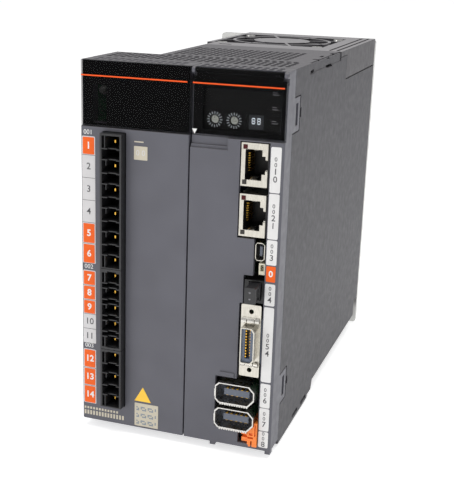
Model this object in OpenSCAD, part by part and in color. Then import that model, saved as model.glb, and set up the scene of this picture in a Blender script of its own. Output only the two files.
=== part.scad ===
// Servo drive for cabinet mounting, built as an assembly of separate pieces.
// Working frame of the modules: x from the left edge of the front, y from the front face to the
// back, z from the lower edge of the front. place() moves it to the part's own frame, whose
// origin is on the mounting plate's rear face, at the middle of the drive's width and height:
// +X right, +Y into the wall, +Z up.

/* [Case] */
// Width of the front
case_w = 90; // [89.8:0.1:90.2]
// Height of the front
case_h = 164; // [164:0.5:165]
// Depth from the front face to the mounting plate
case_d = 187; // [187:1:190]
// Width of the deep body at the right
body_w = 69; // [68.8:0.1:69.2]
// Depth of the shallow power wing at the left
wing_d = 38; // [37.5:0.5:39]
// Wall thickness of the case
wall = 2.2; // [2:0.1:2.4]
// Depth of the two front covers
cover_d = 13; // [13:0.1:13.2]
// Front wall of the covers
front_t = 2.4; // [2.2:0.1:2.5]
// Corner chamfer of the covers
cover_chamfer = 0.6; // [0.3:0.1:0.8]
// Right edge of the power cover
seam_x = 49.3; // [49:0.1:49.4]
// Lower edge of the black window and of the display cover
window_z = 136.2; // [136:0.1:136.4]

/* [Heat sink] */
// Thickness of the mounting plate
plate_t = 4; // [3:0.5:5]
// How far the plate reaches below the front's lower edge
plate_drop = 4; // [3.5:0.5:4.5]
// Diameter of the mounting holes, for M5 screws
mount_hole_d = 6; // [5.5:0.1:6.5]
// Distance of the mounting holes from the plate's edges
mount_inset = 6; // [5.5:0.5:7]
// Number of cooling fins
fin_count = 11; // [6:1:12]
// Thickness of a fin
fin_t = 1.6; // [1.2:0.1:2]

/* [Power headers] */
// How far the headers stand out of the front
header_proud = 4; // [3:0.5:5]
// Pin pitch of the mains and motor headers
wide_pitch = 10.5; // [10.5:0.1:10.6]
// Pin pitch of the link header
narrow_pitch = 7.5; // [7.4:0.1:7.5]
// Width of a power pin, which is taller than wide
pin_w = 0.7; // [0.6:0.1:1]

/* [Display] */
// Thickness of the hinged display cover
door_t = 1.8; // [1.6:0.1:1.8]
// Radius of the display cover's hinge barrel
barrel_r = 1.3; // [1.2:0.05:1.3]
// Radius of the display cover's hinge pins
hinge_pin_r = 0.7; // [0.6:0.05:0.75]
// Radius of the rotary switch knobs
knob_r = 1.5; // [1.4:0.05:1.6]

/* [Fan] */
// Width of the fan frame
fan_w = 58; // [57.5:0.1:58]
// Height of the fan frame
fan_h = 20; // [18:1:20]
// Distance between the fan's screws
fan_screw_pitch = 50; // [49.5:0.1:50]
// Number of fan blades
blade_count = 7; // [5:1:9]

/* [Vents] */
// Width of a vent slot
vent_w = 2.1; // [1.6:0.1:2.2]
// Length of a vent slot from front to back
vent_l = 3.5; // [3:0.1:3.6]
// Pitch of the vent slots across the case
vent_pitch_x = 3.2; // [3.1:0.1:4]
// Pitch of the vent rows from front to back
vent_pitch_y = 4.6; // [4.5:0.1:4.6]

/* [Hidden] */
$fn = 48;
eps = 0.01;
gap = 0.3;
running = 0.05;

body_x = case_w - body_w;
plate_z0 = -plate_drop;
plate_z1 = case_h - 1;
plate_corner_r = 1.5;
mid_z = (plate_z0 + case_h) / 2;
rear_y = case_d + plate_t;

// Mounting holes as x and z
mount_holes = [
    [mount_inset, plate_z0 + mount_inset],
    [mount_inset, case_h - mount_inset],
    [case_w - mount_inset, plate_z0 + mount_inset]
];
ear_w = 14;
ear_top_z = 146;
ear_bottom_z = 34;
earth_holes = [[ear_w - 3, 14], [ear_w - 3, 25]];
earth_r = 1.65;

// Fins and the base that carries the power modules
fin_y = 110;
fin_base_t = 5;
fin_z0 = 15;
fin_z1 = 116;
fin_x0 = body_x + 4;
fin_x1 = case_w - 5;
standoff_x = [fin_x0 + 3, fin_x1 - 4];
standoff_z = [fin_z0 + 5, fin_z1 - 5];
standoff_hole_r = 1.5;

// Vent fields: first and last row in the covers, over the whole case, and over the deep body
cover_vent_y = [5.7, 10.3];
front_vent_y = [19.9, 33.7];
body_vent_y = [38.3, 38.3];
rear_vent_y = [46, 78.2];
vent_skin = 1.4;

// Seam between the covers' side walls and the case: set forward between the snap tabs
tab_seam_y = cover_d - 2.2;
tab_end_y = 21.4;
tab_t = 1.8;
low_tab = [17, 32.2];
high_tab = [137.6, 152.8];

// Steps in the case's lower edge, and the cut-back corner over the lower right ear
foot_z = -2.4;
foot_y = 66;
step_y = 74;
step_z = 3.5;
ear_cut_y = 178;
ear_cut_z = 12;

// Front end of the shallow step along the right top edge
rim_y = 39.5;

// Fan cover: a top plate, with side skirts from fan_skirt_y to the back; its left side stands
// out past the body to make room for the fan and reaches down to a shelf under it
fan_top_t = 2.5;
fan_lip_y = 98;
fan_rear_y = case_d - gap;
fan_skirt_y = 112;
fan_skirt_z = 150;
fan_skirt_t = 1.2;
fan_cover_x = body_x - 4;
fan_x = body_x + 27.2;
fan_y = 143;
fan_open = fan_w - 1;
fan_z1 = case_h - fan_top_t;
fan_z0 = fan_z1 - fan_h;
fan_shelf_z = fan_z0 - 2;
fan_bore_r = 27.4;
fan_hub_r = 14.5;
guard_t = 1.7;
guard_disc_r = 14.8;
guard_ring_r = 25.1;
groove_w = 1.2;
fan_screw_head_h = fan_top_t - 0.1;
fan_screw_at = [for (sx = [-1, 1], sy = [-1, 1])
    [fan_x + sx * fan_screw_pitch / 2, fan_y + sy * fan_screw_pitch / 2]];

// Rotor: shaft radius, and the hub's lower and upper ends above the frame's lower face
shaft_r = 1.5;
rotor_z0 = 3.6;
rotor_z1 = 18;

// Power headers: x range, depth behind the front, and the first pin, pitch and count of each
header_x0 = 10.8;
header_x1 = 20.8;
header_back = 14;
header_wall = 0.9;
header_cell_back = 11;
pin_x = (header_x0 + header_x1) / 2 + 0.1;
pin_tip_y = 0.8;
mains = [130.4, wide_pitch, 6];
link = [70.6, narrow_pitch, 5];
motor = [33.1, wide_pitch, 3];
mains_z = [75, 134.3];
link_z = [37.4, 74.9];
motor_z = [9.2, 37.3];

// Control board plane, which the signal sockets stand on
board_x = case_w - 6;
board_t = 1.6;
terminal_y = header_back;
power_board_y = 99.4;

// Network jacks: outer x range, lower edge of each, and the plug opening inside
jack_x0 = 71.9;
jack_h = 18;
jack_d = 15.6;
upper_jack_z = 117;
lower_jack_z = 95.8;
jack_sheet = 0.4;
jack_front_y = 0.4;

// Signal sockets as x0, x1, z0, z1
usb = [79.5, 83.7, 85.9, 93.8];
monitor = [81.2, board_x, 79.8, 84.8];
safety = [75.4, board_x, 67.4, 77.3];
plug = [77.7, 82.6, 69.1, 76.3];
ribbon = [74.6, 83.4, 33.8, 66.4];
ribbon_shell_box = [76, 82.2, 41.4, 57.6];
ribbon_screw_z = 13.25;
ribbon_mid_x = (ribbon_shell_box[0] + ribbon_shell_box[1]) / 2;
ribbon_mid_z = (ribbon[2] + ribbon[3]) / 2;
ribbon_slot_x = ribbon_mid_x - 1.25;
encoder_w = 17.8;
encoder_h = 9.5;
encoder_x0 = 64.7;
encoder_sheet = 0.5;
upper_encoder_z = 20.4;
lower_encoder_z = 8.6;
battery = [77, board_x, 2.3, 7.6];
battery_front_y = -1.2;
plug_proud = 7.5;
plug_tail_y = 7.6;

// Display: hinge axis, and the rotary switches and digits behind the cover
hinge_y = barrel_r;
hinge_z = case_h - 0.1 - barrel_r;
control_x = seam_x + 0.6;
display_opening = [52.2, 87.4, 138.4, 158.4];
bezel_y = 3.4;
bezel_t = 1.6;
switch_w = 7.6;
switch_y = bezel_y + bezel_t + 0.1;
display_board_y = 9.9;
knob_at = [[59.1, 142.8], [67.4, 142.8]];
segments = [73.5, 79.8, 139.8, 145.7];
stripe_z = 157.3;
stripe_h = 0.55;
stripe_t = 0.3;

// ---------------------------------------------------------------- helpers

// Moves the working frame to the part's frame
module place() translate([-case_w / 2, -rear_y, -mid_z]) children();

// A box given by its two ends along each axis
module block(x0, x1, y0, y1, z0, z1) translate([x0, y0, z0]) cube([x1 - x0, y1 - y0, z1 - z0]);

// A box from y0 to y1 over a rectangle [x0, x1, z0, z1] grown by m
module panel(r, y0, y1, m = 0) block(r[0] - m, r[1] + m, y0, y1, r[2] - m, r[3] + m);

// Extrudes an outline drawn in x and z from y0 to y1
module along_y(y0, y1) translate([0, y1, 0]) rotate([90, 0, 0]) linear_extrude(y1 - y0) children();

// Extrudes an outline drawn in y and z from x0 to x1
module along_x(x0, x1) translate([x0, 0, 0]) rotate([90, 0, 90]) linear_extrude(x1 - x0) children();

// Extrudes an outline drawn in x and y from z0 to z1
module along_z(z0, z1) translate([0, 0, z0]) linear_extrude(z1 - z0) children();

// A round bar along y, centred at x and z
module rod_y(x, z, r, y0, y1) translate([x, y1, z]) rotate([90, 0, 0]) cylinder(r = r, h = y1 - y0);

// A round bar along x, centred at y and z
module rod_x(y, z, r, x0, x1) translate([x0, y, z]) rotate([0, 90, 0]) cylinder(r = r, h = x1 - x0);

// A rectangle with round corners
module rounded_rect(x0, x1, y0, y1, r) {
    translate([x0 + r, y0]) square([x1 - x0 - 2 * r, y1 - y0]);
    translate([x0, y0 + r]) square([x1 - x0, y1 - y0 - 2 * r]);
    for (x = [x0 + r, x1 - r], y = [y0 + r, y1 - r]) translate([x, y]) circle(r = r);
}

// A rectangle with its corners cut off by c
module chamfered_rect(x0, x1, y0, y1, c) polygon([
    [x0 + c, y0], [x1 - c, y0], [x1, y0 + c], [x1, y1 - c],
    [x1 - c, y1], [x0 + c, y1], [x0, y1 - c], [x0, y0 + c]
]);

// Vent slots with their centres over a field of the top, cut through from z0 up; ends holds the
// first and the last row
module vent_field(x0, x1, ends, z0) {
    rows = round((ends[1] - ends[0]) / vent_pitch_y);
    columns = floor((x1 - x0) / vent_pitch_x);
    for (row = [0 : rows], column = [0 : columns]) {
        x = x0 + column * vent_pitch_x;
        y = ends[0] + row * vent_pitch_y;
        along_z(z0, case_h + 1)
            chamfered_rect(x - vent_w / 2, x + vent_w / 2, y - vent_l / 2, y + vent_l / 2, 0.5);
    }
}

// A small screw along y whose head's bearing face is at y
module screw_y(x, z, y, head_r, head_h, shank_r, length) difference() {
    union() {
        rod_y(x, z, head_r, y - head_h, y);
        rod_y(x, z, shank_r, y - eps, y + length);
    }
    for (a = [0, 90])
        translate([x, y - head_h, z]) rotate([0, a, 0])
            cube([head_r * 1.2, head_h * 0.9, 0.5], center = true);
}

// ---------------------------------------------------------------- heat sink and power stage

module plate_outline() difference() {
    rounded_rect(0, case_w, plate_z0, plate_z1, plate_corner_r);
    rounded_rect(-ear_w, ear_w, ear_bottom_z, ear_top_z, 3);
    for (hole = mount_holes) translate(hole) circle(d = mount_hole_d);
    for (hole = earth_holes) translate(hole) circle(r = earth_r);
}

module mounting_plate() color("silver") along_y(case_d, rear_y) plate_outline();

// Base of the fins, with the tapped holes of the board's standoffs
module fin_base() color("silver") difference() {
    block(fin_x0, fin_x1, fin_y, fin_y + fin_base_t, fin_z0, fin_z1);
    for (x = standoff_x, z = standoff_z) rod_y(x, z, standoff_hole_r, fin_y - 1, fin_y + 4);
}

module cooling_fins() color("silver") {
    pitch = (fin_x1 - fin_x0 - fin_t) / (fin_count - 1);
    for (i = [0 : fin_count - 1])
        block(fin_x0 + i * pitch, fin_x0 + i * pitch + fin_t, fin_y + fin_base_t, case_d,
              fin_z0, fin_z1);
}

module earth_screws() color("gainsboro")
    for (hole = earth_holes) screw_y(hole[0], hole[1], case_d, 3.5, 2.4, earth_r, plate_t);

module power_module() color("dimgray") difference() {
    block(34, 76, power_board_y + board_t, fin_y, 18, 58);
    for (x = [37, 73]) rod_y(x, 38, 2, power_board_y, fin_y + 1);
}

module rectifier_module() color("dimgray")
    block(36, 70, power_board_y + board_t, fin_y, 66, 96);

module board_standoffs() color("darkgoldenrod")
    for (x = standoff_x, z = standoff_z) difference() {
        translate([x, fin_y, z]) rotate([90, 0, 0])
            cylinder(r = 3, h = fin_y - power_board_y - board_t, $fn = 6);
        rod_y(x, z, standoff_hole_r, power_board_y, fin_y + 1);
    }

module power_board() color("darkgreen") difference() {
    block(fin_x0, 82, power_board_y, power_board_y + board_t, 6, 152);
    for (x = standoff_x, z = standoff_z)
        rod_y(x, z, standoff_hole_r, power_board_y - 1, power_board_y + board_t + 1);
}

module board_screws() color("gainsboro")
    for (x = standoff_x, z = standoff_z)
        screw_y(x, z, power_board_y, 2.7, 1.8, 1.5, fin_y - power_board_y + 3);

// One electrolytic can with a pressed ring near its base and a scored top
module capacitor_can(x, z, r, length) difference() {
    rod_y(x, z, r, power_board_y - length, power_board_y);
    translate([x, power_board_y - 3, z]) rotate([90, 0, 0]) difference() {
        cylinder(r = r + 1, h = 1.4);
        cylinder(r = r - 0.7, h = 1.4);
    }
    for (a = [0, 90])
        translate([x, power_board_y - length, z]) rotate([0, a, 0])
            cube([r * 1.2, 0.6, 0.6], center = true);
}

module link_capacitors() color("midnightblue")
    for (x = [43.5, 66], z = [105, 131]) capacitor_can(x, z, 11, 45);

module transformer() color("khaki") {
    block(30, 54, 82, power_board_y, 62, 86);
    block(33, 51, 77, 82, 58, 90);
}

module inrush_relay() color("steelblue") block(60, 76, 83, power_board_y, 66, 86);

module current_sensors() color("darkslategray")
    for (x = [34, 52]) difference() {
        block(x, x + 12, 85, power_board_y, 12, 30);
        block(x + 3.5, x + 8.5, 84, power_board_y - 4, 17, 25);
    }

// ---------------------------------------------------------------- boards

module terminal_board() color("darkgreen") difference() {
    block(3, 47, terminal_y, terminal_y + board_t, 4, 136);
    power_pin_rods(terminal_y - 1, terminal_y + board_t + 1);
}

// The control board stands behind the sockets, notched under the display and over the step
module control_board() color("darkgreen") along_x(board_x, board_x + board_t) polygon([
    [3, 3], [step_y - 4, 3], [step_y - 4, 7], [94, 7], [94, 160], [14, 160], [14, 133.8],
    [3, 133.8]
]);

module control_chips() color("black") {
    chip_sizes = [[30, 20, 14], [52, 60, 18], [30, 96, 12], [70, 118, 10], [58, 28, 9]];
    for (chip = chip_sizes)
        block(board_x - 1.6, board_x, chip[0], chip[0] + chip[2], chip[1], chip[1] + chip[2]);
}

module lamp_board() color("seagreen")
    block(2.4, 8.4, terminal_y - board_t, terminal_y, 134.5, 153);

module charge_lamp() color("white") {
    lamp_x = 5.8;
    lamp_z = 150.4;
    lamp_y = terminal_y - board_t;
    rod_y(lamp_x, lamp_z, 1.9, lamp_y - 1, lamp_y);
    rod_y(lamp_x, lamp_z, 1.5, lamp_y - 2.6, lamp_y);
    translate([lamp_x, lamp_y - 2.6, lamp_z]) sphere(r = 1.5);
}

// ---------------------------------------------------------------- case and covers

// Plan of the case: a deep body with a shallow wing at its left, inset by t
module case_plan(t, y0, y1) polygon([
    [t, y0], [case_w - t, y0], [case_w - t, y1], [body_x + t, y1],
    [body_x + t, wing_d - t], [t, wing_d - t]
]);

// Side view of the case's outside
module case_side() polygon([
    [cover_d, foot_z], [foot_y, foot_z], [foot_y + 1, -1], [step_y, -1], [step_y + 2, step_z],
    [ear_cut_y, step_z], [ear_cut_y, ear_cut_z], [case_d, ear_cut_z],
    [case_d, fan_skirt_z - 2 * gap], [fan_skirt_y, fan_skirt_z - 2 * gap],
    [fan_skirt_y, case_h - fan_top_t - gap], [fan_lip_y, case_h - fan_top_t - gap],
    [fan_lip_y, case_h], [cover_d, case_h], [cover_d, high_tab[0]], [tab_seam_y, high_tab[0]],
    [tab_seam_y, low_tab[1]], [cover_d, low_tab[1]]
]);

// Side view of the case's inside, open at the front, at the back and under the fan
module case_side_inside() polygon([
    [0, foot_z + wall], [foot_y - wall, foot_z + wall], [foot_y, wall],
    [step_y - wall, wall], [step_y, step_z + wall], [ear_cut_y - wall, step_z + wall],
    [ear_cut_y - wall, ear_cut_z + wall], [case_d + 1, ear_cut_z + wall],
    [case_d + 1, case_h + 1], [fan_skirt_y, case_h + 1],
    [fan_skirt_y, fan_z1 - gap - wall], [fan_lip_y - wall, fan_z1 - gap - wall],
    [fan_lip_y - wall, case_h - wall], [0, case_h - wall]
]);

// Notch of a snap tab in a side wall from x0 to x1, deeper in its middle
module tab_notch(x0, x1, tab) {
    middle = (tab[0] + tab[1]) / 2;
    block(x0, x1, 0, tab_end_y + 1, tab[0], tab[1]);
    block(x0, x1, 0, tab_end_y + 3, middle - 2, middle + 2);
}

// Snap tab of a cover in a side wall from x0 to x1, with the window of its hook
module snap_tab(x0, x1, tab) difference() {
    block(x0, x1, front_t + 1, tab_end_y, tab[0] + 0.5, tab[1] - 0.5);
    block(x0 - 1, x1 + 1, 15.3, 18.7, tab[0] + 3, tab[1] - 3);
}

// Outline of a cover's side wall where its rear edge is cut back between the tabs
module side_cut_back(x0, x1)
    block(x0, x1, tab_seam_y - 0.2, cover_d + 1, low_tab[1] - 0.5, high_tab[0] + 0.5);

module main_case() color([0.43, 0.42, 0.43]) difference() {
    intersection() {
        along_z(foot_z - 1, case_h + 1) case_plan(0, tab_seam_y, case_d);
        along_x(-1, case_w + 1) case_side();
    }
    intersection() {
        along_z(foot_z, case_h + 2) case_plan(wall, tab_seam_y - 1, case_d + 1);
        along_x(0, case_w) case_side_inside();
    }
    // left wall cut down beside the fan
    block(body_x - 1, body_x + wall + 1, fan_skirt_y, fan_y + fan_w / 2 + 1.5, fan_z0 - 0.5,
          fan_skirt_z + 1);
    // vented top
    vent_field(4.5, case_w - 5, front_vent_y, case_h - wall - 1);
    vent_field(body_x + 4.5, case_w - 5, body_vent_y, case_h - wall - 1);
    vent_field(body_x + 4.5, case_w - 13, rear_vent_y, case_h - wall - 1);
    // thinner skin between the slots of the rear field
    block(body_x + 3, case_w - 11, rear_vent_y[0] - 3, rear_vent_y[1] + 3, case_h - wall - 1,
          case_h - vent_skin);
    // shallow step along the right top edge
    block(case_w - 1.2, case_w + 1, rim_y, fan_lip_y, case_h - 0.5, case_h + 1);
    block(case_w - 0.4, case_w + 1, rim_y, fan_lip_y, 159.7, case_h + 1);
    // notches of the snap tabs in the right wall and in the wing's left wall
    for (x = [[-1, wall + 1], [case_w - wall - 1, case_w + 1]], tab = [low_tab, high_tab])
        tab_notch(x[0], x[1], tab);
    // slots in the right wall
    for (y = [38, 53.5]) block(case_w - wall - 1, case_w + 1, y, y + 9.6, -0.9, 1);
    block(case_w - wall - 1, case_w + 1, 67.5, 78.7, 159, 160.4);
    block(case_w - wall - 1, case_w + 1, 37.3, 44, 159.3, 161);
    rod_x(44, 160.15, 0.85, case_w - wall - 1, case_w + 1);
    // slots for catches along the right of the top, as x0, x1, y0, y1
    for (c = [[86.2, 89.2, 54.2, 56.6], [86.2, 87.6, 67, 73.2], [87.4, 88.8, 83.2, 88.2]])
        block(c[0], c[1], c[2], c[3], case_h - 2, case_h + 1);
    block(case_w - 1, case_w + 1, 68.4, 73.8, case_h - 1.2, case_h + 1);
    // air outlet slots under the fins
    for (i = [0 : 7])
        block(body_x + 7 + i * 7, body_x + 11 + i * 7, 118, 174, step_z - 1, step_z + wall + 1);
}

module power_cover() color([0.38, 0.38, 0.41]) {
    for (tab = [low_tab, high_tab]) snap_tab(0, tab_t, tab);
    power_cover_shell();
}

module power_cover_shell() difference() {
    along_z(0, case_h) polygon([
        [cover_chamfer, 0], [seam_x, 0], [seam_x, cover_d - 0.2], [0, cover_d - 0.2],
        [0, cover_chamfer]
    ]);
    block(wall, seam_x - 1.6, front_t, cover_d + 1, 2, case_h - 2);
    // seat of the window and the opening behind it
    block(-1, seam_x + 1, -1, door_t + gap, window_z - 0.1, case_h + 1);
    block(wall + 1, seam_x - 2.4, -1, cover_d, window_z + 2, case_h - 4);
    block(header_x0 - gap, header_x1 + gap, -1, cover_d, motor_z[0] - gap, mains_z[1] + gap);
    side_cut_back(-1, wall + 1);
    vent_field(5, seam_x - 3, cover_vent_y, case_h - 3);
}

// Opening in the front for the signal sockets, stepped to their sizes
module socket_opening() {
    step = [
        [71.5, 95, 135.5], [79, 79.2, 95 + eps], [75, 66.6, 79.2 + eps],
        [73.6, 31.8, 66.6 + eps], [64, 7.9, 31.8 + eps], [75, 2, 7.9 + eps]
    ];
    for (s = step) block(s[0], board_x + 0.1, -1, cover_d, s[1], s[2]);
}

module hinge_lug(x0, x1) {
    rod_x(hinge_y, hinge_z, barrel_r, x0, x1);
    block(x0, x1, hinge_y, bezel_y, hinge_z - barrel_r, case_h);
}

module control_cover() color([0.38, 0.38, 0.41]) {
    lug_w = 1.4;
    for (tab = [low_tab, high_tab]) snap_tab(case_w - tab_t, case_w, tab);
    difference() {
        union() {
            difference() {
                along_z(0, case_h) polygon([
                    [control_x, 0], [case_w - cover_chamfer, 0], [case_w, cover_chamfer],
                    [case_w, cover_d - 0.2], [control_x, cover_d - 0.2]
                ]);
                block(control_x - 1, case_w + 1, -1, door_t + gap, window_z - 0.2, case_h + 1);
                block(control_x - 1, case_w + 1, 0, 2 * barrel_r + 0.4, 158.4, case_h + 1);
                block(control_x + 1.6, case_w - 2, front_t, cover_d + 1, 2, 134);
                block(control_x + 1.6, case_w - 2, bezel_y, cover_d + 1, 133, case_h - 2);
                panel(display_opening, 0, cover_d);
            }
            for (x = [control_x, case_w - lug_w]) hinge_lug(x, x + lug_w);
        }
        rod_x(hinge_y, hinge_z, hinge_pin_r + running, control_x - 1, case_w + 1);
        socket_opening();
        side_cut_back(case_w - wall - 1, case_w + 1);
        // finger recess under the display cover, with a lower inner step
        block(control_x - 1, 66.2, -1, 0.9, 131.2, 137);
        block(control_x - 1, 65.6, -1, 1.7, 132.6, 137);
        vent_field(control_x + 3, case_w - 5, cover_vent_y, case_h - 3);
    }
    // pad over the encoder sockets
    block(66, 72.5, -0.5, eps, 32.2, 34.2);
    // feet
    for (x = [62, case_w - 2.6]) block(x, x + 2.4, 0.6, 4, -1.8, 0);
}

module charge_window() color([0.06, 0.06, 0.07, 0.9]) difference() {
    along_z(window_z, case_h) polygon([
        [cover_chamfer, 0], [seam_x, 0], [seam_x, door_t + gap], [0.1, door_t + gap],
        [0.1, cover_chamfer]
    ]);
    block(0.4, seam_x - 1.2, -1, stripe_t, stripe_z, stripe_z + stripe_h);
}

module window_stripe() color("orangered")
    block(0.4, seam_x - 1.2, 0, stripe_t, stripe_z, stripe_z + stripe_h);

// Smoked door that swings up about the barrel along its top edge
module display_cover() color([0.06, 0.06, 0.07, 0.9]) {
    shoulder_z = hinge_z - barrel_r - 0.4;
    left = control_x;
    right = case_w - 0.2;
    difference() {
        union() {
            block(left, right, 0, door_t, window_z + 0.2, shoulder_z);
            block(left + 1.4, right - 1.6, 0, door_t, shoulder_z - 1, hinge_z);
            rod_x(hinge_y, hinge_z, barrel_r, left + 1.4, right - 1.6);
            rod_x(hinge_y, hinge_z, hinge_pin_r, left, right);
        }
        block(control_x + 0.6, case_w - 1.1, -1, stripe_t, stripe_z, stripe_z + stripe_h);
        // nail groove at the lower left
        block(left + 1, left + 9.4, door_t - 0.7, door_t + 1, window_z, window_z + 1.6);
    }
}

module display_stripe() color("orangered")
    block(control_x + 0.6, case_w - 1.1, 0, stripe_t, stripe_z, stripe_z + stripe_h);

module display_bezel() color([0.1, 0.1, 0.11]) difference() {
    block(control_x + 1.8, case_w - 2.1, bezel_y, bezel_y + bezel_t, 137.3, 160);
    for (k = knob_at) rod_y(k[0], k[1], knob_r + gap, bezel_y - 1, bezel_y + bezel_t + 1);
    panel(segments, bezel_y - 1, bezel_y + bezel_t + 1, 0.1);
}

module display_board() color("darkgreen")
    block(control_x + 2.2, case_w - 2.6, display_board_y, display_board_y + board_t, 137.6, 159.8);

module segment_display() color([0.16, 0.16, 0.17]) panel(segments, bezel_y + 0.4, display_board_y);

module rotary_switch_bodies() color("whitesmoke")
    for (k = knob_at) difference() {
        block(k[0] - switch_w / 2, k[0] + switch_w / 2, switch_y, display_board_y,
              k[1] - switch_w / 2, k[1] + switch_w / 2);
        rod_y(k[0], k[1], knob_r + running, switch_y - 1, display_board_y - 1.6);
    }

// A knob with a driver slot and a pointer notch at its rim
module address_knob(k) color("gainsboro") difference() {
    rod_y(k[0], k[1], knob_r, bezel_y + 0.4, display_board_y - 1.9);
    translate([k[0], bezel_y + 0.4, k[1]]) cube([2 * knob_r - 0.6, 1.4, 0.6], center = true);
    block(k[0] - 0.25, k[0] + 0.25, bezel_y, bezel_y + 1.1, k[1], k[1] + knob_r + 1);
}

module address_knob_left() address_knob(knob_at[0]);

module address_knob_right() address_knob(knob_at[1]);

// ---------------------------------------------------------------- power headers

// Pins of one header as rods from y0 to y1; spec is first z, pitch and count
module pin_row(spec, y0, y1)
    for (i = [0 : spec[2] - 1]) {
        z = spec[0] - i * spec[1];
        block(pin_x - pin_w / 2, pin_x + pin_w / 2, y0, y1, z - pin_w, z + pin_w);
    }

module power_pin_rods(y0, y1) {
    pin_row(mains, y0, y1);
    pin_row(link, y0, y1);
    pin_row(motor, y0, y1);
}

// Cells of a header: one open cell round each pin and a spacer cell between two poles
module header_cells(spec, cell_h) {
    divider = 0.5;
    front = -header_proud - 1;
    spacer_h = spec[1] - cell_h - 2 * divider;
    for (i = [0 : spec[2] - 1]) {
        z = spec[0] + 0.3 - i * spec[1];
        block(header_x0 + header_wall, header_x1 - header_wall, front, header_cell_back,
              z - cell_h / 2, z + cell_h / 2);
        if (i < spec[2] - 1)
            block(header_x0 + header_wall, header_x1 - header_wall, front, header_cell_back,
                  z - cell_h / 2 - divider - spacer_h, z - cell_h / 2 - divider);
    }
}

// Coding ribs: a full bar in the end poles and one from the top half way down in the others
module header_ribs(spec, cell_h)
    for (i = [0 : spec[2] - 1]) {
        z = spec[0] + 0.3 - i * spec[1];
        full = i == 0 || i == spec[2] - 1;
        block(header_x0 + header_wall + 1, header_x0 + header_wall + 1.5,
              full ? -header_proud + 0.3 : -header_proud + 1.6, header_cell_back + eps,
              full ? z - cell_h / 2 - eps : z, z + cell_h / 2 + eps);
    }

module power_header(spec, z_range, cell_h) color([0.1, 0.1, 0.1]) {
    difference() {
        block(header_x0, header_x1, -header_proud, header_back, z_range[0], z_range[1]);
        header_cells(spec, cell_h);
        // dividers set back in the middle of the header
        block(header_x0 + header_wall + 2.6, header_x1 - header_wall - 1.6, -header_proud - 1,
              -header_proud + 1.5, z_range[0] + 1, z_range[1] - 1);
        pin_row(spec, header_cell_back - 1, header_back + 1);
    }
    header_ribs(spec, cell_h);
}

module mains_header() power_header(mains, mains_z, 5.3);

module link_header() power_header(link, link_z, 4.6);

module motor_header() power_header(motor, motor_z, 5.3);

module power_pins() color("gold") power_pin_rods(pin_tip_y, terminal_y + board_t + 1.4);

// ---------------------------------------------------------------- signal sockets

// Plug opening of a network jack: the body of the plug, and its latch in two steps up to x1
module jack_opening(z, x1, y0, y1) {
    block(73.7, 80.8, y0, y1, z + 2.8, z + 15.3);
    block(80.8 - eps, 82.2, y0, y1, z + 5.4, z + 12.8);
    block(82.2 - eps, x1, y0, y1, z + 6.8, z + 11.4);
}

// Window of a lamp at the left of a jack, above or below the plug opening
module jack_lamp_window(z, upper, y0, y1) {
    z_lamp = upper ? z + jack_h - 2.6 : z + 0.8;
    block(jack_x0 + 0.8, jack_x0 + 2.6, y0, y1, z_lamp, z_lamp + 1.8);
}

module jack_lamp_windows(z, y0, y1)
    for (upper = [false, true]) jack_lamp_window(z, upper, y0, y1);

module jack_shield(z) color("silver") difference() {
    block(jack_x0, board_x, jack_front_y, jack_d, z, z + jack_h);
    block(jack_x0 + jack_sheet, board_x - jack_sheet, jack_front_y + jack_sheet, jack_d + 1,
          z + jack_sheet, z + jack_h - jack_sheet);
    jack_opening(z, board_x + 1, -1, 2);
    jack_lamp_windows(z, -1, 2);
    // front right edge, cut back beside the label strip
    block(board_x - 0.8, board_x + 1, -1, 3, z - 1, z + jack_h + 1);
}

module jack_insert(z) color("black") difference() {
    block(jack_x0 + jack_sheet, board_x - jack_sheet, jack_front_y + jack_sheet, jack_d,
          z + jack_sheet, z + jack_h - jack_sheet);
    jack_opening(z, 83.2, -1, jack_d - 2);
    jack_lamp_windows(z, -1, 3);
}

module upper_jack_shield() jack_shield(upper_jack_z);

module lower_jack_shield() jack_shield(lower_jack_z);

module upper_jack_insert() jack_insert(upper_jack_z);

module lower_jack_insert() jack_insert(lower_jack_z);

module jack_contacts() color("gold")
    for (z = [upper_jack_z, lower_jack_z], i = [0 : 7]) {
        wire_z = z + 5.5 + i * 1.02;
        along_z(wire_z, wire_z + 0.4) polygon([[73.7, 5], [74.4, 5.6], [75, 10], [73.7, 12]]);
    }

module jack_lamps() color("darkred")
    for (z = [upper_jack_z, lower_jack_z]) jack_lamp_window(z, true, jack_front_y - 0.1, 3);

module jack_status_lamps() color("gray")
    for (z = [upper_jack_z, lower_jack_z]) jack_lamp_window(z, false, jack_front_y - 0.1, 3);

// Outline of the small USB socket, grown by m
module usb_outline(m) polygon([
    [usb[0] - m, usb[2] + 1.2], [usb[0] + 0.8, usb[2] - m], [usb[1] - 1.2, usb[2] - m],
    [usb[1] + m, usb[2] + 0.9], [usb[1] + m, usb[3] - 0.9], [usb[1] - 1.2, usb[3] + m],
    [usb[0] + 0.8, usb[3] + m], [usb[0] - m, usb[3] - 1.2]
]);

module usb_shell() color("silver") difference() {
    along_y(0.2, 9) usb_outline(0);
    along_y(-1, 10) usb_outline(-0.4);
}

module usb_tongue() color([0.2, 0.2, 0.22]) {
    along_y(7, 9) usb_outline(-0.4);
    block(81.2, 82.3, 1.6, 7 + eps, usb[2] + 1.9, usb[3] - 1.9);
}

module monitor_header() color("ivory") {
    difference() {
        panel(monitor, 0.8, 8);
        block(monitor[0] + 0.7, monitor[1] - 0.7, -1, 6, monitor[2] + 1.6, monitor[3] - 0.7);
    }
    for (z = [monitor[2] + 2.1, monitor[3] - 1.9]) block(82.4, 82.9, 2, 6 + eps, z, z + 0.5);
}

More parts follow.
